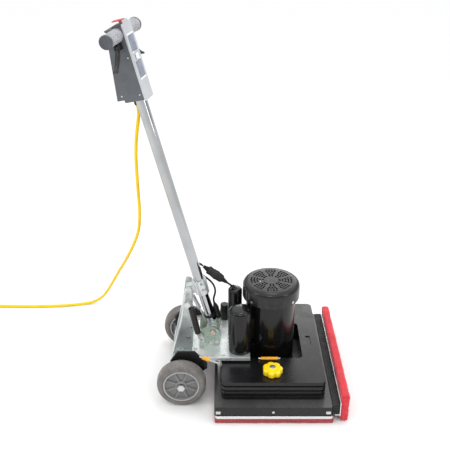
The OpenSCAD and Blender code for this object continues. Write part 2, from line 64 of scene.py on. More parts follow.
def centre(node):
    low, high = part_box(node)
    return (low + high) / 2


# ---------------------------------------------------------------- camera, floor and light

scene = bpy.context.scene
camera_data = bpy.data.cameras.new("camera")
camera_data.sensor_width = 36
camera_data.lens = 56
camera = bpy.data.objects.new("camera", camera_data)
camera.location = mm(-143.6, -1866.6, 1459.5)
camera.rotation_euler = (math.radians(63.7), 0, 0)
scene.collection.objects.link(camera)
scene.camera = camera
scene.view_settings.view_transform = "Standard"


def area_light(name, place, target, width, height, power):
    data = bpy.data.lights.new(name, "AREA")
    data.shape = "RECTANGLE"
    data.size, data.size_y, data.energy = width, height, power
    lamp = bpy.data.objects.new(name, data)
    lamp.location = place
    lamp.rotation_euler = (Vector(target) - Vector(place)).to_track_quat("-Z", "Y").to_euler()
    scene.collection.objects.link(lamp)


overhead = bpy.data.lights.new("overhead_light", "SUN")
overhead.energy, overhead.angle = 1.95, math.radians(120)
scene.collection.objects.link(bpy.data.objects.new("overhead_light", overhead))
area_light("top_light", (0.2, 0.5, 3.6), (-0.1, 0, 0.3), 0.9, 0.6, 14)
area_light("left_light", (-2.3, -1.0, 1.5), (-0.1, 0, 0.35), 0.35, 1.9, 9)
area_light("right_light", (2.1, -1.3, 1.4), (0, 0, 0.3), 0.3, 1.7, 9)
area_light("back_light", (0.6, 2.8, 1.6), (0, 0, 0.3), 1.8, 0.5, 12)
area_light("front_light", (-0.3, -2.4, 2.9), (-0.1, 0, 0.3), 1.0, 0.25, 9)


# ---------------------------------------------------------------- materials

class Nodes:
    """A material's nodes, wired by short calls."""

    def __init__(self, name):
        self.material = bpy.data.materials.new(name)
        self.material.use_nodes = True
        self.tree = self.material.node_tree
        self.shader = self.tree.nodes["Principled BSDF"]
        self.place = self.add("ShaderNodeTexCoord").outputs["Object"]

    def add(self, kind, **settings):
        node = self.tree.nodes.new(kind)
        for key, value in settings.items():
            setattr(node, key, value)
        return node

    def link(self, a, b):
        self.tree.links.new(a, b)

    def stretched(self, scale):
        mapping = self.add("ShaderNodeMapping")
        mapping.inputs["Scale"].default_value = scale
        self.link(self.place, mapping.inputs["Vector"])
        return mapping.outputs["Vector"]

    def noise(self, scale, detail=3, stretch=None, rough=0.55):
        texture = self.add("ShaderNodeTexNoise")
        texture.inputs["Scale"].default_value = scale
        texture.inputs["Detail"].default_value = detail
        texture.inputs["Roughness"].default_value = rough
        self.link(self.stretched(stretch) if stretch else self.place, texture.inputs["Vector"])
        return texture.outputs["Fac"]

    def cells(self, scale):
        texture = self.add("ShaderNodeTexVoronoi")
        texture.inputs["Scale"].default_value = scale
        self.link(self.place, texture.inputs["Vector"])
        return texture

    def ramp(self, value, stops):
        node = self.add("ShaderNodeValToRGB")
        elements = node.color_ramp.elements
        while len(elements) < len(stops):
            elements.new(0.5)
        for element, (at, colour) in zip(elements, stops):
            element.position = at
            element.color = (*colour, 1)
        self.link(value, node.inputs["Fac"])
        return node.outputs["Color"]

    def grey(self, value, low, high, a=0.35, b=0.65):
        return self.ramp(value, [(a, (low,) * 3), (b, (high,) * 3)])

    def mix(self, share, a, b, blend="MIX"):
        node = self.add("ShaderNodeMix", data_type="RGBA", blend_type=blend)
        for socket, value in ((node.inputs[0], share), (node.inputs[6], a), (node.inputs[7], b)):
            if isinstance(value, bpy.types.NodeSocket):
                self.link(value, socket)
            else:
                socket.default_value = value if isinstance(value, (int, float)) else (*value, 1)
        return node.outputs[2]

    def bump(self, height, distance, strength):
        node = self.add("ShaderNodeBump")
        node.inputs["Distance"].default_value = distance
        node.inputs["Strength"].default_value = strength
        self.link(height, node.inputs["Height"])
        self.link(node.outputs["Normal"], self.shader.inputs["Normal"])

    def edges(self, low=0.52, high=0.6):
        worn = self.add("ShaderNodeNewGeometry").outputs["Pointiness"]
        return self.grey(worn, 0.0, 1.0, low, high)

    def set(self, **sockets):
        for key, value in sockets.items():
            socket = self.shader.inputs[key.replace("_", " ")]
            if isinstance(value, bpy.types.NodeSocket):
                self.link(value, socket)
            else:
                socket.default_value = (*value, 1) if isinstance(value, tuple) else value
        return self.material


def painted(name, colour, light, rough, grain, depth, wear=0.25):
    """Powder coat: a fine orange-peel skin, cloudy sheen and edges rubbed lighter."""
    n = Nodes(name)
    cloud = n.noise(9, 4)
    base = n.mix(n.grey(cloud, 0.0, 1.0), colour, light)
    rubs = n.grey(n.noise(70, 4), 0.0, wear, 0.4, 0.7)
    rubbed = n.mix(rubs, base, tuple(3.0 * c + 0.03 for c in light))
    base = n.mix(n.edges(), base, rubbed)
    n.bump(n.noise(grain, 2), depth, 0.6)
    n.set(Base_Color=base, Roughness=n.grey(n.noise(16, 5), rough * 0.8, rough * 1.3))
    return n.set(Specular_IOR_Level=0.36)


def zinc(name, a, b, tint, rough):
    """Zinc plate: cloudy bright metal with faint rainbow tints and small scratches."""
    n = Nodes(name)
    base = n.mix(n.grey(n.noise(14, 5), 0.0, 1.0), a, b)
    base = n.mix(n.grey(n.noise(6, 3), 0.0, 0.75, 0.45, 0.7), base, tint)
    scratch = n.noise(260, 3, (1, 1, 0.06))
    n.bump(scratch, 0.00004, 0.25)
    rough_map = n.grey(n.noise(40, 6), rough * 0.7, rough * 1.4)
    return n.set(Base_Color=base, Roughness=rough_map, Metallic=0.7)


def metal(name, colour, rough, brush=(1, 1, 1), scale=400):
    """Bare metal with fine lines along its brushed direction."""
    n = Nodes(name)
    lines = n.noise(scale, 3, brush)
    base = n.mix(n.grey(lines, 0.0, 1.0), tuple(c * 0.88 for c in colour), colour)
    smear = n.noise(11, 4)
    n.bump(lines, 0.00004, 0.5)
    return n.set(Base_Color=base, Metallic=1.0, Roughness=n.grey(smear, rough * 0.75, rough * 1.35))


def plastic(name, colour, rough, grain=900, depth=0.00006, spread=0.12, coat=0.0, sheen=0.0):
    """Moulded plastic or rubber with a fine texture and slightly uneven colour."""
    n = Nodes(name)
    cloud = n.noise(22, 5)
    dark = tuple(c * (1 - spread) for c in colour)
    pale = tuple(min(1, c * (1 + spread) + 0.004) for c in colour)
    base = n.mix(n.grey(cloud, 0.0, 1.0), dark, pale)
    base = n.mix(n.edges(0.53, 0.64), base, tuple(min(1, c * 1.25 + 0.02) for c in colour))
    n.bump(n.cells(grain).outputs["Distance"], depth, 0.5)
    n.set(Base_Color=base, Roughness=n.grey(n.noise(50, 4), rough * 0.85, rough * 1.2))
    n.set(Specular_IOR_Level=0.3 if max(colour) < 0.05 else 0.5)
    return n.set(Coat_Weight=coat, Coat_Roughness=0.1, Sheen_Weight=sheen)


def tyre_rubber():
    n = Nodes("grey_tyre_rubber")
    base = n.mix(n.grey(n.noise(18, 6), 0.0, 1.0), (0.12, 0.112, 0.106), (0.175, 0.163, 0.154))
    dust = n.grey(n.noise(55, 7), 0.0, 0.55, 0.5, 0.72)
    base = n.mix(dust, base, (0.26, 0.243, 0.225))
    n.bump(n.noise(600, 3), 0.00012, 0.5)
    return n.set(Base_Color=base, Roughness=n.grey(n.noise(30, 4), 0.42, 0.66))


def foam_grip():
    """Light grey foam with dark and pale flecks."""
    n = Nodes("speckled_grip")
    fleck = n.cells(620).outputs["Color"]
    value = n.add("ShaderNodeSeparateColor")
    n.link(fleck, value.inputs["Color"])
    base = n.ramp(value.outputs["Red"], [(0.0, (0.11, 0.115, 0.125)), (0.18, (0.28, 0.29, 0.31)),
                                         (0.8, (0.37, 0.38, 0.405)), (0.97, (0.6, 0.61, 0.63))])
    n.bump(n.noise(850, 3), 0.00018, 0.7)
    return n.set(Base_Color=base, Roughness=0.62)


def scouring_pad(name, dark, pale):
    """Open non-woven fibre: a tangle of strands over deep pits, with painted shade darkening the
    pits.
    """
    n = Nodes(name)
    strands = n.noise(420, 6, (1, 1, 2.2), 0.7)
    crossing = n.noise(330, 6, (2.4, 1, 1), 0.7)
    tangle = n.mix(0.5, strands, crossing)
    # The colour runs dark where the pattern is low, as the bump's pits are: painted shade in the pits
    # between the strands.
    base = n.ramp(tangle, [(0.34, dark), (0.52, tuple((a + b) / 2 for a, b in zip(dark, pale))),
                           (0.66, pale)])
    patch = n.grey(n.noise(24, 4), 0.82, 1.08)
    base = n.mix(1.0, base, patch, "MULTIPLY")
    n.bump(tangle, 0.0012, 0.9)
    return n.set(Base_Color=base, Roughness=0.8, Sheen_Weight=0.35, Sheen_Roughness=0.5)


def cord_jacket(name, colour, rough=0.38):
    n = Nodes(name)
    base = n.mix(n.grey(n.noise(30, 4), 0.0, 1.0), tuple(c * 0.86 for c in colour), colour)
    scuff = n.grey(n.noise(140, 6), 0.0, 0.35, 0.62, 0.75)
    base = n.mix(scuff, base, tuple(c * 0.7 + 0.008 for c in colour))
    n.bump(n.noise(500, 2), 0.0001, 0.4)
    return n.set(Base_Color=base, Roughness=n.grey(n.noise(60, 3), rough * 0.8, rough * 1.3),
                 Specular_IOR_Level=0.25)


def blank_label():
    n = Nodes("blank_label")
    base = n.mix(n.grey(n.noise(30, 3), 0.0, 1.0), (0.2, 0.225, 0.29), (0.26, 0.285, 0.35))
    n.bump(n.noise(300, 2), 0.00002, 0.4)
    return n.set(Base_Color=base, Roughness=n.grey(n.noise(60, 3), 0.22, 0.34))


def chrome():
    n = Nodes("chrome")
    base = n.mix(n.grey(n.noise(9, 3), 0.0, 1.0), (0.4, 0.41, 0.42), (0.47, 0.48, 0.49))
    smear = n.grey(n.noise(26, 6), 0.035, 0.1)
    n.bump(n.noise(340, 2), 0.00001, 0.3)
    return n.set(Base_Color=base, Metallic=1.0, Roughness=smear)


def copper():
    n = Nodes("copper_windings")
    wave = n.add("ShaderNodeTexWave", bands_direction="Z")
    wave.inputs["Scale"].default_value = 420
    wave.inputs["Distortion"].default_value = 2
    n.link(n.place, wave.inputs["Vector"])
    base = n.mix(wave.outputs["Fac"], (0.42, 0.13, 0.05), (0.72, 0.33, 0.14))
    n.bump(wave.outputs["Fac"], 0.0003, 0.8)
    return n.set(Base_Color=base, Metallic=0.8, Roughness=0.32)


M = {
    "motor_black": painted("motor_black", (0.003, 0.003, 0.0032), (0.006, 0.006, 0.0063),
                           0.14, 620, 0.00004, 0.1),
    "cover_black": painted("cover_black", (0.009, 0.009, 0.01), (0.015, 0.015, 0.017),
                           0.2, 620, 0.00006, 0.25),
    "weight_black": painted("weight_black", (0.005, 0.005, 0.0055), (0.009, 0.009, 0.01),
                            0.24, 780, 0.00008, 0.35),
    "deck_black": painted("deck_black", (0.008, 0.008, 0.0085), (0.014, 0.014, 0.015),
                          0.22, 700, 0.00008, 0.25),
    # A lighter copy of the deck's black paint for its up-facing faces: a painted reflection of the
    # bright studio on the top.
    "deck_top": painted("deck_top_black", (0.045, 0.045, 0.046), (0.075, 0.075, 0.077),
                        0.24, 700, 0.00008, 0.25),
    "trigger": plastic("trigger_plastic", (0.03, 0.028, 0.0275), 0.26, 700, 0.00006, 0.2),
    "zinc": zinc("zinc_plate", (0.6, 0.64, 0.635), (0.74, 0.77, 0.765), (0.58, 0.66, 0.65), 0.32),
    "passivate": zinc("green_passivate", (0.33, 0.39, 0.32), (0.52, 0.57, 0.5),
                      (0.25, 0.37, 0.34), 0.3),
    "bolt": metal("zinc_bolt", (0.66, 0.665, 0.66), 0.28),
    "pin": metal("pink_brass_pin", (0.66, 0.5, 0.43), 0.3),
    "ground_steel": metal("ground_steel", (0.5, 0.51, 0.53), 0.22, (1, 1, 8)),
    "aluminium": metal("brushed_aluminium", (0.83, 0.84, 0.85), 0.26, (1, 0.03, 1), 900),
    "chrome": chrome(),
    "tyre": tyre_rubber(),
    "hub": plastic("hub_nylon", (0.2, 0.197, 0.196), 0.4, 500, 0.0001),
    "hub_rim": plastic("hub_rim_nylon", (0.31, 0.305, 0.303), 0.36, 500, 0.0001),
    "rubber": plastic("black_rubber", (0.011, 0.011, 0.0115), 0.5, 700, 0.0001),
    "black": plastic("black_plastic", (0.01, 0.01, 0.0105), 0.32, 900, 0.00005),
    "head_dark": plastic("slate_plastic", (0.088, 0.096, 0.107), 0.46, 760, 0.0001),
    "head_light": plastic("light_grey_plastic", (0.5, 0.515, 0.54), 0.42, 760, 0.0001, 0.05),
    "cap": plastic("grip_cap_plastic", (0.06, 0.068, 0.077), 0.4, 760, 0.0001),
    "grip": foam_grip(),
    "label": blank_label(),
    "white": plastic("white_indicator", (0.8, 0.81, 0.82), 0.3, 700, 0.00003, 0.04),
    "lever_grip": plastic("dipped_grip", (0.017, 0.014, 0.0135), 0.42, 380, 0.00018),
    "paddle": plastic("red_paddle", (0.62, 0.018, 0.025), 0.28, 700, 0.00003, 0.1, 0.4),
    "knob": plastic("yellow_knob", (0.94, 0.66, 0.005), 0.26, 520, 0.00008, 0.07, 0.3),
    # The sleeves' yellow is painted darker and more orange than the knob's: painted shade, as the
    # sleeves sit in shadow.
    "sleeve": plastic("yellow_sleeve_painted_shade", (0.88, 0.4, 0.008), 0.3, 520, 0.00005, 0.08, 0.3),
    "cord": cord_jacket("yellow_jacket", (0.98, 0.64, 0.002)),
    "plug": cord_jacket("yellow_plug", (0.9, 0.6, 0.01), 0.45),
    "black_cord": cord_jacket("black_jacket", (0.016, 0.016, 0.017), 0.42),
    "floor_pad": scouring_pad("red_floor_pad", (0.15, 0.008, 0.013), (0.5, 0.05, 0.058)),
    "front_pad": scouring_pad("red_front_pad", (0.4, 0.004, 0.012), (0.92, 0.03, 0.055)),
    "fibre": plastic("red_fibre", (0.82, 0.04, 0.065), 0.55, 300, 0.00002, 0.25, 0.0, 0.3),
    "copper": copper(),
    "brass": metal("brass_blade", (0.78, 0.58, 0.26), 0.24),
}


# ---------------------------------------------------------------- mesh helpers

def piece(name, verts, faces, body, material, slot=None, crease=35, bevel=0.0, segments=2):
    """A mesh piece on a body: smooth apart from its creases, with its edges rounded."""
    data = bpy.data.meshes.new(name)
    data.from_pydata([tuple(v) for v in verts], [], faces)
    bm = bmesh.new()
    bm.from_mesh(data)
    bmesh.ops.remove_doubles(bm, verts=bm.verts, dist=1e-6)
    bmesh.ops.recalc_face_normals(bm, faces=bm.faces)
    bm.to_mesh(data)
    bm.free()
    obj = bpy.data.objects.new(name, data)
    scene.collection.objects.link(obj)
    data.materials.append(M[material])
    data.polygons.foreach_set("use_smooth", [True] * len(data.polygons))
    if bevel:
        edge_round(obj, bevel, segments, crease)
    else:
        data.set_sharp_from_angle(angle=math.radians(crease))
    if body:
        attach(obj, body)
    return obj


def edge_round(obj, width, segments, angle):
    rounding = obj.modifiers.new("rounding", "BEVEL")
    rounding.width, rounding.segments = width, segments
    rounding.limit_method, rounding.angle_limit = "ANGLE", math.radians(angle)
    rounding.miter_outer = "MITER_ARC"
    obj.modifiers.new("normals", "WEIGHTED_NORMAL").keep_sharp = True


SHARP = 32


def refine(name, material, bevel, segments):
    """Finish of a CAD node: its material, and its sharp edges rounded by bevel metres."""
    obj = nodes[name]
    data = obj.data
    data.materials.clear()
    data.materials.append(M[material])
    if "custom_normal" in data.attributes:
        data.attributes.remove(data.attributes["custom_normal"])
    data.polygons.foreach_set("use_smooth", [True] * len(data.polygons))
    obj.modifiers.new("weld", "WELD").merge_threshold = 0.00002
    if bevel:
        edge_round(obj, bevel, segments, SHARP)
    else:
        split = obj.modifiers.new("creases", "EDGE_SPLIT")
        split.split_angle = math.radians(SHARP)


def turned(profile, sides=64, place=Matrix.Identity(4)):
    """Verts and faces of a closed profile of (radius, height) turned about Z."""
    verts, faces, n = [], [], len(profile)
    for i in range(sides):
        a = 2 * math.pi * i / sides
        verts += [place @ Vector((r * math.cos(a), r * math.sin(a), z)) for r, z in profile]
    for i in range(sides):
        j = (i + 1) % sides
        for k in range(n - 1):
            ring = [i * n + k, j * n + k, j * n + k + 1, i * n + k + 1]
            faces.append(ring)
    return verts, faces


def arc_points(cx, cz, r, start, stop, steps=5):
    turn = [math.radians(start + (stop - start) * i / steps) for i in range(steps + 1)]
    return [(cx + r * math.cos(a), cz + r * math.sin(a)) for a in turn]


def facing(origin, axis):
    """Matrix that puts Z along axis at origin."""
    turn = Vector(axis).normalized().to_track_quat("Z", "Y").to_matrix().to_4x4()
    return Matrix.Translation(origin) @ turn


def lathe(name, profile, origin, axis, body, material, slot=None, sides=64, crease=35):
    verts, faces = turned(profile, sides, facing(origin, axis))
    return piece(name, verts, faces, body, material, slot, crease)


def brick(low, high):
    """Verts and faces of a box between two corners."""
    x, y, z = zip(low, high)
    verts = [Vector((x[i], y[j], z[k])) for i in (0, 1) for j in (0, 1) for k in (0, 1)]
    return verts, [(0, 1, 3, 2), (4, 6, 7, 5), (0, 4, 5, 1), (2, 3, 7, 6), (0, 2, 6, 4), (1, 5, 7, 3)]


def joined(parts):
    verts, faces = [], []
    for v, f in parts:
        faces += [[i + len(verts) for i in face] for face in f]
        verts += v
    return verts, faces


def extruded(outline, z0, z1, place=Matrix.Identity(4)):
    """A closed outline of (x, y) drawn up from z0 to z1."""
    n = len(outline)
    verts = [place @ Vector((x, y, z)) for z in (z0, z1) for x, y in outline]
    faces = [(i, (i + 1) % n, n + (i + 1) % n, n + i) for i in range(n)]
    return verts, faces + [list(range(n))[::-1], list(range(n, 2 * n))]


def frames_along(points):
    """A direction and a side vector at each point, carried along without twist."""
    last = len(points) - 1
    side, rows = None, []
    for i, p in enumerate(points):
        along = (points[min(i + 1, last)] - points[max(i - 1, 0)]).normalized()
        if side is None:
            side = along.orthogonal().normalized()
        side = (side - along * side.dot(along)).normalized()
        rows.append((p, along, side))
    return rows


def swept(points, radius, sides=12):
    """A round tube along points; radius is a number or a function of the distance gone."""
    verts, faces, gone, before = [], [], 0.0, points[0]
    for p, along, side in frames_along(points):
        gone += (p - before).length
        before = p
        r = radius(gone) if callable(radius) else radius
        up = along.cross(side)
        for k in range(sides):
            a = 2 * math.pi * k / sides
            verts.append(p + r * (math.cos(a) * side + math.sin(a) * up))
    for i in range(len(points) - 1):
        for k in range(sides):
            a, b = i * sides + k, i * sides + (k + 1) % sides
            faces.append((a, b, b + sides, a + sides))
    end = (len(points) - 1) * sides
    faces += [list(range(sides))[::-1], [end + k for k in range(sides)]]
    return verts, faces


def smooth_path(points, step):
    """Catmull-Rom curve through points, with a point about every step."""
    pts = [Vector(p) for p in points]
    out, last = [], len(pts) - 1
    for i in range(last):
        a, b, c, d = pts[max(i - 1, 0)], pts[i], pts[i + 1], pts[min(i + 2, last)]
        count = max(2, round((c - b).length / step))
        for k in range(count):
            t = k / count
            out.append(0.5 * (2 * b + (c - a) * t + (2 * a - 5 * b + 4 * c - d) * t * t
                              + (3 * b - a - 3 * c + d) * t ** 3))
    return out + [pts[last]]


# ---------------------------------------------------------------- frames of the handle and head

LEAN = math.radians(14.6)
HEAD_TURN = math.radians(17)
PIVOT = centre("pivot_pin")
HANDLE = Matrix.Translation(PIVOT) @ Matrix.Rotation(-LEAN, 4, "Y")
HEAD_Z, HEAD_HALF = 760, 25.5
HEAD = HANDLE @ Matrix.Translation(mm(0, 0, HEAD_Z)) @ Matrix.Rotation(-HEAD_TURN, 4, "Z")


# ---------------------------------------------------------------- mains cord

CORD_D = 10 * MM
DROP = [
    (-386.8, 20.4, 899.3), (-384.2, 20.6, 886), (-384.3, 21, 871), (-387, 21.8, 852),
    (-391.5, 23.5, 825), (-396.5, 27, 790), (-400.3, 33, 746), (-402.8, 46, 690),
    (-405, 70, 599), (-408, 95, 531), (-418, 125, 462),
    (-438, 158, 398), (-478, 217, 303), (-522, 281, 210), (-562, 340, 123),
    (-585, 370, 77), (-605, 391, 44), (-628, 403, 20), (-654, 404, 8), (-680, 400, 5),
]
FLOOR = [
    (-715, 392, 5), (-763, 385, 5), (-812, 382, 5), (-880, 380, 5),
    (-960, 381, 5), (-1040, 383, 5), (-1110, 383, 5),
]
COIL = centre("cord_coil")
COIL_R = 110 * MM
COIL_ROWS = 5
COIL_TURNS = 23 + 105 / 360
TURN_POINTS = 48


def eased(a, b, t):
    t = max(0.0, min(1.0, (t - a) / (b - a)))
    return t * t * (3 - 2 * t)


def coil_points():
    """Turns side by side, each layer wound back over the last; a step in or out ends each turn."""
    points = []
    for k in range(int(COIL_TURNS * TURN_POINTS) + 1):
        turn, phase = divmod(k / TURN_POINTS, 1)
        layer, row = divmod(int(turn), COIL_ROWS)
        rows = row if layer % 2 == 0 else COIL_ROWS - 1 - row
        step = (eased(0.8, 1.0, phase) if row < COIL_ROWS - 1 else 0) * (1 if layer % 2 == 0 else -1)
        r = COIL_R - (rows + step) * CORD_D
        climb = eased(0.62, 0.8, phase) if row == COIL_ROWS - 1 else 0
        climb += 1.1 * eased(COIL_TURNS - 0.19, COIL_TURNS, k / TURN_POINTS)
        a = math.radians(90) + 2 * math.pi * (k / TURN_POINTS)
        points.append(Vector((COIL.x + r * math.cos(a), COIL.y + r * math.sin(a),
                              (layer + climb + 0.5) * CORD_D)))
    return points


plug_low, plug_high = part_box("cord_plug")
PLUG_R = 16 * MM
plug_back = Vector((plug_low.x, (plug_low.y + plug_high.y) / 2, plug_low.z + PLUG_R))


def tail_points(leave):
    """From the coil's last turn: a straight, then a bend of 50 mm radius into the plug's back."""
    points, bend = [], 50 * MM
    heading = math.radians(285)
    run = Vector((math.cos(heading), math.sin(heading), 0))
    drop = leave.y - plug_back.y - bend * (1 - math.cos(math.radians(75)))
    straight = drop / -run.y
    total = straight + bend * math.radians(75)
    hub = leave + run * straight + bend * Vector((-run.y, run.x, 0))
    for k in range(1, 25):
        gone = total * k / 24
        if gone < straight:
            p = leave + run * gone
        else:
            a = math.radians(195) + (gone - straight) / bend
            p = hub + bend * Vector((math.cos(a), math.sin(a), 0))
        p.z = leave.z + (plug_back.z - leave.z) * eased(0, total, gone)
        points.append(p)
    end = points[-1]
    return points + [end + mm(2, 0, 0), plug_back + mm(4, 0, 0)]


def cord_path():
    coil = coil_points()
    route = smooth_path([mm(*p) for p in DROP + FLOOR] + [coil[0]], 9 * MM)
    points = route[:-1] + coil + tail_points(coil[-1])
    for p in points:
        p.z = max(p.z, CORD_D / 2)
    return points


path = cord_path()
verts, faces = swept(path, CORD_D / 2, 12)
cord = piece("mains_cord", verts, faces, None, "cord", "cord_drop", 60)
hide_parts("cord_drop", "cord_floor", "cord_coil")
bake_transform(cord)

plug_axis = facing(plug_back, (1, 0, 0))
shell = [(0.0052, -0.002), (0.0075, 0), (0.0085, 0.006), (0.0095, 0.013)]
shell += [(0.0155, 0.017), (0.016, 0.02), (0.0135, 0.025), (0.0135, 0.031), (0.016, 0.036),
          (0.016, 0.043), (0.015, 0.045), (0.0, 0.045)]
verts, faces = turned([(0.0, -0.002)] + shell, 48, plug_axis)
plug = piece("plug_body", verts, faces, "frame", "plug", "cord_plug", 40)
ribs = [turned([(0.0088, z), (0.0108, z + 0.0006), (0.0108, z + 0.0019), (0.0088, z + 0.0025),
                (0.0088, z)], 32, plug_axis) for z in (0.002, 0.006, 0.010)]
verts, faces = joined(ribs)
relief = piece("plug_relief_rings", verts, faces, "frame", "plug", "cord_plug", 40)
blades = []
for y in (-6.5, 6.5):
    at = plug_back + mm(44, y, 4)
    blades.append(brick(at + mm(0, -0.8, -3.2), at + mm(17, 0.8, 3.2)))
verts, faces = joined(blades)
blade_pair = piece("plug_blades", verts, faces, "frame", "brass", "cord_plug", 30, 0.0004)
earth_pin = [(0, 0.044), (0.0023, 0.044), (0.0023, 0.0605), (0.0012, 0.0625), (0, 0.0628)]
earth = lathe("plug_earth_pin", earth_pin, plug_back + mm(0, 0, -6), (1, 0, 0), "frame", "brass",
              "cord_plug", 24)
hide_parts("cord_plug")


# ---------------------------------------------------------------- motor lead and connectors

LEAD_R = 3.2 * MM
LOOP = [
    (-174.4, 0, 256), (-178.3, 0, 268), (-179.3, -0.5, 280), (-176.5, -1.5, 293), (-174, -1, 306),
    (-176, 3, 319), (-182.5, 8.5, 330), (-192.3, 15.2, 338), (-203.3, 20.8, 344.5),
    (-214.4, 25, 350.2), (-225.2, 27.3, 355.4), (-235.8, 27.8, 360.8), (-243, 27.3, 367.2),
    (-246, 26.6, 376), (-244.1, 25.4, 385), (-237.8, 23.9, 391.9), (-228.9, 21.8, 394.8),
    (-219.6, 19.9, 392.9), (-211.9, 17.8, 387.4),
]
loop_path = smooth_path([mm(*p) for p in LOOP], 3 * MM)
verts, faces = swept(loop_path, LEAD_R, 12)
loop = piece("motor_lead_loop", verts, faces, None, "black_cord", "lead_loop", 60)
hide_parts("lead_loop")
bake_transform(loop)

PLUG_END, SOCKET_END, LEAD_IN = mm(-210.5, 17.5, 386.5), mm(-138, 3, 337), mm(-114, 8, 307)
span = (SOCKET_END - PLUG_END).length
along = (SOCKET_END - PLUG_END).normalized()


def ringed(start, stop, r0, r1, count):
    """A strain relief's stepped rings between two places along an axis."""
    out, step = [], (stop - start) / count
    for i in range(count):
        r = r0 + (r1 - r0) * i / max(1, count - 1)
        z = start + i * step
        out += [(r * 0.78, z), (r, z + step * 0.15), (r, z + step * 0.6), (r * 0.78, z + step * 0.75)]
    return out


male = [(0, 0)] + ringed(0.0, span * 0.2, 0.0052, 0.0088, 4)
male += [(0.0125, span * 0.2), (0.0135, span * 0.24), (0.0128, span * 0.33), (0.0128, span * 0.38),
         (0.0138, span * 0.42), (0.0138, span * 0.497), (0, span * 0.497)]
female = [(0, span * 0.503), (0.0147, span * 0.503), (0.0149, span * 0.51), (0.0149, span * 0.57),
          (0.0136, span * 0.6), (0.0132, span * 0.72), (0.0118, span * 0.8)]
female += [(r, span - z) for r, z in reversed(ringed(0.0, span * 0.2, 0.0052, 0.0085, 4))]
female += [(0, span)]
lead_axis = facing(PLUG_END, along)
halves = joined([turned(male, 36, lead_axis), turned(female, 36, lead_axis)])
connectors = piece("lead_connector_pair", *halves, "frame", "rubber", "lead_connectors", 38)
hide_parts("lead_connectors")
short_path = smooth_path([SOCKET_END - along * 0.004, SOCKET_END, SOCKET_END + along * 0.008,
                          mm(-124, 5.5, 324), LEAD_IN + mm(-2, 0, 4.5), LEAD_IN], 2.5 * MM)
piece("short_lead", *swept(short_path, LEAD_R, 12), "frame", "black_cord", "lead_connectors", 60)
lathe("lead_gland", [(0.0033, 0.012), (0.0048, 0.011), (0.0062, 0.003), (0.0085, 0.0015), (0.009, 0),
                     (0.009, -0.003), (0.0033, -0.003), (0.0033, 0.012)],
      mm(-115.3, 7.5, 313), (-0.35, 0, 1), "frame", "rubber", "capacitor_covers", 28)


# ---------------------------------------------------------------- scouring pads

def pad(name, node, body, material, cell, lump, fuzz):
    """A fibre pad: a soft-edged block of open tangle, with loose strands on its skin."""
    low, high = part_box(node)
    size = high - low
    counts = [max(2, round(s / cell)) for s in size]
    index, verts, faces = {}, [], []
    middle, half = (low + high) / 2, size / 2
    corner = min(half) * 0.45

    def vertex(i, j, k):
        key = (i, j, k)
        if key not in index:
            p = Vector([(2 * c / n - 1) * h for c, n, h in zip(key, counts, half)])
            inner = Vector([max(-h + corner, min(h - corner, v)) for v, h in zip(p, half)])
            out = p - inner
            if out.length > 1e-9:
                p = inner + out.normalized() * min(out.length, corner)
            normal = out.normalized() if out.length > 1e-9 else Vector((0, 0, 1))
            world = middle + p
            rough = noise.fractal(world * 260, 0.8, 2.2, 4) * lump
            wave = noise.noise(world * 30) * lump * 0.8
            index[key] = len(verts)
            world += normal * (rough + wave - 0.7 * lump)
            world.z = max(world.z, 0.0)
            verts.append(world)
        return index[key]

    for axis in range(3):
        a, b = [d for d in range(3) if d != axis]
        for side in (0, counts[axis]):
            for i in range(counts[a]):
                for j in range(counts[b]):
                    ring = []
                    for di, dj in ((0, 0), (1, 0), (1, 1), (0, 1)):
                        key = [0, 0, 0]
                        key[axis], key[a], key[b] = side, i + di, j + dj
                        ring.append(vertex(*key))
                    faces.append(ring)
    block = piece(name, verts, faces, body, material, node, 80)
    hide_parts(node)
    strands_v, strands_f = [], []
    pool = [f for f in block.data.polygons if f.normal.z > -0.3]
    for _ in range(fuzz):
        face = random.choice(pool)
        start = face.center.copy()
        n = face.normal
        drift = Vector([random.uniform(-1, 1) for _ in range(3)])
        drift = (drift - n * drift.dot(n) * 0.75).normalized()
        reach = random.uniform(3, 7) * MM
        lift = random.uniform(0.5, 1.5) * MM
        side = drift.cross(n).normalized() * 0.00018
        arch = [start - n * 0.0006, start + drift * reach * 0.33 + n * lift,
                start + drift * reach * 0.7 + n * lift * 0.9, start + drift * reach - n * 0.0005]
        for q in arch:
            q.z = max(q.z, 0.0004)
        base = len(strands_v)
        for q in arch:
            strands_v += [q - side, q + side, q + n * 0.00025]
        for i in range(3):
            for k in range(3):
                p0, p1 = base + i * 3 + k, base + i * 3 + (k + 1) % 3
                strands_f.append((p0, p1, p1 + 3, p0 + 3))
    strands = piece(name + "_fibres", strands_v, strands_f, body, "fibre", node, 60)


pad("scouring_pad", "floor_pad", "driver", "floor_pad", 5.5 * MM, 0.9 * MM, 5200)
pad("front_scouring_pad", "front_pad", "frame", "front_pad", 5 * MM, 1.3 * MM, 4200)


# ---------------------------------------------------------------- wheels

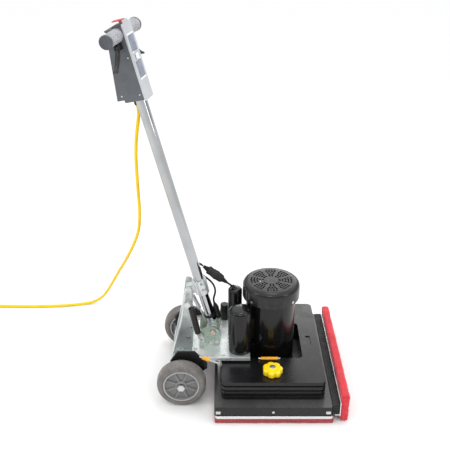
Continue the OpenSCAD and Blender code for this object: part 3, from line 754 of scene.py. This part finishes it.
def wheel(side, body):
    hub_node, tyre_node = body.replace("_wheel", "_hub"), body.replace("_wheel", "_tyre")
    middle = centre(tyre_node)
    outward = (0, side, 0)
    low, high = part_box(tyre_node)
    radius, half = (high.z - low.z) / 2, (high.y - low.y) / 2
    rim = 57 * MM
    wall = [(rim, -half + 0.0015), (rim + 0.002, -half + 0.0003), (rim + 0.0055, -half)]
    shoulder = arc_points(radius - 0.0105, -half + 0.0105, 0.0095, -80, -8, 7)
    tread = [(radius - 0.0006, -half + 0.011), (radius - 0.0001, -half * 0.4), (radius, 0)]
    rising = wall + shoulder + tread
    mirrored_half = [(r, -z) for r, z in reversed(rising[:-1])]
    tyre = lathe(tyre_node + "_rubber", rising + mirrored_half + [rising[0]], middle, outward, body,
                 "tyre", tyre_node, 96, 50)
    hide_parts(tyre_node)

    face, web = half - 0.0018, half - 0.0105
    section = [(0.0082, face), (0.0105, face), (0.0118, face + 0.0006), (0.0165, face + 0.0006),
               (0.0178, face - 0.0008), (0.0186, web), (0.0475, web - 0.001)]
    section += [(0.0492, face - 0.0035), (0.0505, face - 0.0008), (0.0522, face), (0.0555, face),
                (rim, face - 0.0012)]
    section += [(r, -z) for r, z in reversed(section)] + [section[0]]
    hub = lathe(hub_node + "_nylon", section, middle, outward, body, "hub", hub_node, 96, 32)
    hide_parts(hub_node)
    place = facing(middle, outward)
    bars = []
    for z0, z1 in ((web - 0.004, face - 0.003), (0.004 - web, 0.003 - face)):
        for i in range(8):
            spin = place @ Matrix.Rotation(math.radians(45 * i + 22.5), 4, "Z")
            outline = [(0.017, -0.0032), (0.049, -0.0018), (0.049, 0.0018), (0.017, 0.0032)]
            bars.append(extruded(outline, min(z0, z1), max(z0, z1), spin))
    piece(hub_node + "_ribs", *joined(bars), body, "hub", hub_node, 30, 0.0011, 3)
    for sign, label in ((1, "outer"), (-1, "inner")):
        z = sign * face
        ring = [(0.0508, z - 0.001), (0.0512, z + 0.0004 * sign), (0.0545, z + 0.0005 * sign),
                (0.0549, z - 0.001), (0.0508, z - 0.001)]
        lathe(f"{hub_node}_{label}_rim_ring", ring, middle, outward, body, "hub_rim", hub_node, 96)
        bearing = [(0.0084, z + 0.0002 * sign), (0.0086, z + 0.0008 * sign),
                   (0.0112, z + 0.0009 * sign), (0.0115, z - 0.001 * sign),
                   (0.0084, z - 0.001 * sign), (0.0084, z + 0.0002 * sign)]
        lathe(f"{hub_node}_{label}_bearing", bearing, middle, outward, body, "ground_steel",
              hub_node, 48)


wheel(-1, "right_wheel")
wheel(1, "left_wheel")


# ---------------------------------------------------------------- lobed knobs

STUD_Y = 0.168


def knob(node, body):
    low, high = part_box(node)
    at = Vector(((low.x + high.x) / 2, STUD_Y * (1 if body.startswith("left") else -1), low.z))
    tall = high.z - low.z
    sides, lobes = 168, 7
    rows = [(0.93, 0.0, 1), (0.985, 0.06, 1), (1.0, 0.16, 1), (1.0, 0.6, 1), (0.985, 0.74, 1),
            (0.94, 0.84, 0.9), (0.84, 0.885, 0.7), (0.66, 0.87, 0.25), (0.5, 0.845, 0.0),
            (0.44, 0.86, 0), (0.41, 0.96, 0), (0.37, 1.0, 0), (0.25, 1.0, 0), (0.24, 0.9, 0)]
    verts, faces = [], []
    for scale, height, lobed in rows:
        for k in range(sides):
            a = 2 * math.pi * k / sides
            petal = abs(math.cos(lobes * a / 2)) ** 0.55
            r = (0.0235 + 0.0072 * petal) * lobed + 0.0275 * (1 - lobed)
            groove = 0.0006 * (1 - petal) * (1 if 0.5 < scale < 0.9 else 0)
            verts.append(at + Vector((r * scale * math.cos(a), r * scale * math.sin(a),
                                      tall * height - groove)))
    count = len(rows)
    for i in range(count - 1):
        for k in range(sides):
            a, b = i * sides + k, i * sides + (k + 1) % sides
            faces.append((a, b, b + sides, a + sides))
    faces += [list(range(sides))[::-1], [(count - 1) * sides + k for k in range(sides)]]
    body_piece = piece(node + "_moulding", verts, faces, body, "knob", node, 42)
    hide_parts(node)
    lathe(node + "_insert", [(0.0062, tall * 0.9), (0.0068, tall + 0.0006), (0.0088, tall + 0.0006),
                             (0.0092, tall - 0.0002), (0.0092, tall * 0.9), (0.0062, tall * 0.9)],
          at, (0, 0, 1), body, "bolt", node, 32)


knob("right_knob", "right_knob")
knob("left_knob", "left_knob")


# ---------------------------------------------------------------- CAD nodes that keep their shape

FINISH = {
    "deck": ("deck_black", 2.6), "deck_isolators": ("rubber", 1.0), "skirt_screws": ("bolt", 0.8),
    "front_bracket": ("aluminium", 0.6), "front_bumper": ("rubber", 1.5),
    "weight_plates": ("weight_black", 2.2), "top_weight_plate": ("weight_black", 2.2),
    "weight_rods": ("bolt", 0.5), "weight_bar_sleeve": ("sleeve", 1.6),
    "motor_housing": ("motor_black", 0.6), "motor_end_bells": ("motor_black", 1.2),
    "stator": ("copper", 2), "fan_cover": ("cover_black", 0),
    "capacitor_covers": ("motor_black", 0), "capacitors": ("aluminium", 0.5),
    "breaker_housing": ("black", 0.8), "trolley_plate": ("zinc", 0.8),
    "side_plates": ("deck_black", 1.2), "uprights": ("zinc", 0.8),
    "sector_plates": ("passivate", 0.9), "pivot_pin": ("pin", 0.8),
    "axle": ("bolt", 0.8), "crank_shaft": ("ground_steel", 0.5), "rotor": ("ground_steel", 0.5),
    "cooling_fan": ("black", 0.3), "driver_plate": ("aluminium", 0.6),
    "driver_bearing": ("ground_steel", 0.5), "handle_yoke": ("zinc", 1.2),
    "handle_tube": ("chrome", 0.4), "tube_collar": ("zinc", 2.0),
    "cable_boot": ("rubber", 0.8), "head_shell": ("head_dark", 2.2),
    "head_cover": ("head_light", 1.6), "label_panels": ("label", 0.3), "grip_frame": ("black", 0.8),
    "power_switch": ("black", 1), "cord_gland": ("rubber", 0.6), "lock_pin": ("bolt", 0.8),
    "trolley_latch": ("bolt", 0.6), "latch_sleeve": ("sleeve", 1.6), "release_lever": ("bolt", 0.8),
    "lever_grip": ("lever_grip", 3), "lockout_paddle": ("paddle", 0.8),
}
for name, (finish, width) in FINISH.items():
    refine(name, finish, width * MM, 3 if width > 1 else 2)
# The deck's up-facing faces take the lighter black paint, so the top is lighter than the sides: a
# painted reflection.
deck_data = nodes["deck"].data
deck_data.materials.append(M["deck_top"])
for face in deck_data.polygons:
    face.material_index = 1 if face.normal.z > 0.9 else 0


# ---------------------------------------------------------------- grips and triggers

GRIP_Z = 180
grips = []
caps = []
for side in (-1, 1):
    start = HEAD @ mm(3, side * HEAD_HALF, GRIP_Z)
    out = HEAD.to_3x3() @ Vector((0, side, 0))
    grips.append(turned([(0.0092, 0.0), (0.0174, 0.0), (0.0183, 0.0012), (0.018, 0.02), (0.018, 0.05),
                         (0.0183, 0.064), (0.0092, 0.064), (0.0092, 0.0)], 56, facing(start, out)))
    cap = [(0.0, 0.064), (0.0184, 0.064), (0.019, 0.0648), (0.019, 0.069), (0.0182, 0.0709),
           (0.016, 0.0715), (0.0151, 0.0708), (0.0, 0.0708)]
    caps.append(turned(cap, 56, facing(start, out)))
    ridge = facing(start + out * 0.0708, out)
    v, f = brick((-0.0011, -0.0134, -0.0004), (0.0011, 0.0134, 0.0007))
    caps.append(([ridge @ p for p in v], f))
grip_piece = piece("foam_grips", *joined(grips), "handle", "grip", "head_grips", 40)
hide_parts("head_grips")
piece("grip_end_caps", *joined(caps), "handle", "cap", "head_grips", 40)


TRIGGER_Y, TRIGGER_Z, TRIGGER_REST = 35.5, 150, math.radians(44)


def trigger(side, body):
    """A squeezed lever: narrow at its pivot, broad and ribbed below, with a flared tip."""
    hang = Matrix.Rotation(TRIGGER_REST * side, 4, "X")
    pivot = HEAD @ Matrix.Translation(mm(0, side * TRIGGER_Y, TRIGGER_Z)) @ hang
    sections = [(-2, 4.2, 4.0, 0), (6, 4.3, 4.4, 0), (14, 5.8, 4.2, -0.5), (22, 7.0, 3.9, -1.0),
                (34, 6.8, 3.7, -1.4), (48, 6.3, 3.5, -1.0), (58, 6.0, 3.5, 0.2), (64, 6.8, 3.6, 1.4),
                (69, 8.0, 3.6, 2.6), (73, 8.1, 3.0, 3.6), (76, 6.4, 1.9, 4.2)]
    sides = 24
    verts, faces = [], []
    for down, wide, thick, bow in sections:
        for k in range(sides):
            a = 2 * math.pi * k / sides
            c, s = math.cos(a), math.sin(a)
            x = wide * math.copysign(abs(c) ** 0.6, c)
            y = thick * math.copysign(abs(s) ** 0.6, s)
            dish = 1.5 if s * side > 0.4 and 16 < down < 62 and abs(c) < 0.75 else 0.0
            verts.append(pivot @ mm(x, y - side * (dish - bow), -down))
    for i in range(len(sections) - 1):
        for k in range(sides):
            a, b = i * sides + k, i * sides + (k + 1) % sides
            faces.append((a, b, b + sides, a + sides))
    end = (len(sections) - 1) * sides
    faces += [list(range(sides))[::-1], [end + k for k in range(sides)]]
    eye = turned([(0.0031, -0.0044), (0.0058, -0.0044), (0.0062, -0.004), (0.0062, 0.004),
                  (0.0058, 0.0044), (0.0031, 0.0044), (0.0031, -0.0044)], 32,
                 pivot @ Matrix.Rotation(math.pi / 2, 4, "Y"))
    lever = piece(body + "_lever", *joined([(verts, faces), eye]), body, "trigger", body, 50)
    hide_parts(body)


trigger(-1, "right_trigger")
trigger(1, "left_trigger")


# ---------------------------------------------------------------- small hardware and trim

def placed(matrix, part):
    """Verts and faces moved by a matrix."""
    verts, faces = part
    return [matrix @ v for v in verts], faces


def bolt(radius, height):
    """A hexagon bolt head with a chamfered top, standing on z = 0."""
    profile = [(0, -0.0004), (radius, -0.0004), (radius, height * 0.7), (radius * 0.86, height),
               (0, height)]
    return turned(profile, 6)


def bolts(name, places, body, slot, radius=0.005, height=0.0028, washer=True):
    parts = []
    for origin, axis in places:
        at = facing(origin, axis)
        if washer:
            disc = [(0, -0.0003), (radius * 1.5, -0.0003), (radius * 1.5, 0.0008), (0, 0.0008)]
            parts.append(placed(at, turned(disc, 28)))
        parts.append(placed(at, bolt(radius, height)))
    piece(name, *joined(parts), body, "bolt", slot, 30)


sector_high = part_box("sector_plates")[1]
for side, label in ((-1, "right"), (1, "left")):
    y = sector_high.y * side
    spots = [(Vector((x * MM, y, z * MM)), (0, side, 0)) for x, z in ((-168, 150), (-187, 146))]
    bolts(f"sector_bolts_{label}", spots, "frame", "sector_plates", 0.0045, 0.0024)
plate_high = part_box("trolley_plate")[1]
spots = [(Vector((x * MM, y * MM, plate_high.z)), (0, 0, 1)) for x, y in
         ((-236, -108), (-236, 108), (-150, -106), (-180, 106), (-236, -72), (-236, 72), (-128, 60))]
bolts("plate_bolts", spots, "frame", "trolley_plate", 0.0048, 0.0032)
UPRIGHT_Y = 37
spots = [(mm(x, side * UPRIGHT_Y, z), (0, side, 0))
         for side in (-1, 1) for x, z in ((-259, 160), (-268, 118))]
bolts("upright_bolts", spots, "frame", "uprights", 0.0048, 0.003)
COVER_R = 0.0887
spots = []
for a in (45, 135, 225, 315):
    out = Vector((math.cos(math.radians(a)), math.sin(math.radians(a)), 0))
    spots.append((out * COVER_R + mm(0, 0, 305), out))
bolts("fan_cover_bolts", spots, "frame", "fan_cover", 0.003, 0.0016)

ribs = []
bumper_low, bumper_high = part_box("front_bumper")
for x in (178.5, 183.5, 188.5, 193.5):
    ribs.append(brick((x * MM, bumper_low.y, bumper_high.z - 0.001),
                      ((x + 2.2) * MM, bumper_high.y, bumper_high.z + 0.0012)))
for z in (37, 46, 55):
    for y, step in ((bumper_low.y, -1), (bumper_high.y, 1)):
        low = min(y, y + step * 0.0012)
        ribs.append(brick((177 * MM, low - 0.0002, z * MM), (197 * MM, low + 0.0014, (z + 2.4) * MM)))
piece("bumper_ribs", *joined(ribs), "frame", "rubber", "front_bumper", 30, 0.0005)

# Release rod and its spring, behind the tube
rod = [HANDLE @ mm(x, 0, z) for x, z in ((-36, 140), (-34, 118), (-26, 66), (-19, 20), (-18, 15))]
rod_path = smooth_path(rod, 6 * MM)
piece("release_rod", *swept(rod_path, 0.0028, 12), "handle", "bolt", "tube_collar", 60)
SPRING_TURNS, SPRING_STEPS, SPRING_LENGTH, SPRING_R = 14, 20, 0.052, 0.0058
axis = (rod[2] - rod[1]).normalized()
side_a = Vector((0, 1, 0))
side_b = axis.cross(side_a).normalized()
coil = []
for k in range(SPRING_TURNS * SPRING_STEPS + 1):
    t = k / SPRING_STEPS
    a = 2 * math.pi * t
    along_rod = HANDLE @ mm(-34, 0, 116) + axis * (SPRING_LENGTH * t / SPRING_TURNS)
    coil.append(along_rod + SPRING_R * (math.cos(a) * side_a + math.sin(a) * side_b))
piece("release_spring", *swept(coil, 0.0009, 8), "handle", "ground_steel", "tube_collar", 60)
outward = HANDLE.to_3x3() @ Vector((0, -1, 0))
spots = [(HANDLE @ mm(*at), outward) for at in ((10, -29, 134), (10, -29, 154), (-34, -12, 144))]
bolts("collar_bolts", spots, "handle", "tube_collar", 0.0048, 0.0034)

# Pale strips, indicator, seam and screws of the head
strips = []
for low, high in (((27.3, -18, 172), (28.3, 18, 176.5)), ((27.3, -18, 53), (28.3, 18, 57.5)),
                  ((27.3, -18, 126), (28.1, -7, 129)), ((27.3, 8, 104), (28.1, 18, 107))):
    strips.append(brick(mm(*low), mm(*high)))
piece("label_strips", *placed(HEAD, joined(strips)), "handle", "white", "label_panels", 30, 0.0003)
window = brick(mm(29, -8.4, 106.6), mm(30, 8.4, 122.4))
piece("indicator_window", *placed(HEAD, window), "handle", "white", "label_panels", 30, 0.0004)
seam = [brick(mm(-4, y - 0.35, 6), mm(-3, y + 0.35, 168)) for y in (0.3 - HEAD_HALF, HEAD_HALF - 0.3)]
piece("head_seam", *placed(HEAD, joined(seam)), "handle", "head_dark", "head_shell", 30, 0.0003)
spots = [(HEAD @ mm(x, side * HEAD_HALF, z), HEAD.to_3x3() @ Vector((0, side, 0)))
         for side in (-1, 1) for x, z in ((-40, 20), (14, 16), (14, 118))]
bolts("head_screws", spots, "handle", "head_shell", 0.0026, 0.0012, False)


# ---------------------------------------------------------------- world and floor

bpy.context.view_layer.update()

world = bpy.data.worlds.new("studio")
scene.world = world
world.use_nodes = True
background = world.node_tree.nodes["Background"]
background.inputs["Color"].default_value = (1, 1, 1, 1)
background.inputs["Strength"].default_value = 0.58
bpy.ops.mesh.primitive_plane_add(size=60, location=(0, 0, 0))
floor = bpy.context.object
floor.name = "studio_floor"
floor_nodes = Nodes("studio_white")
floor_nodes.set(Base_Color=(0.83, 0.83, 0.83), Roughness=0.8, Specular_IOR_Level=0.1)
floor.data.materials.append(floor_nodes.material)
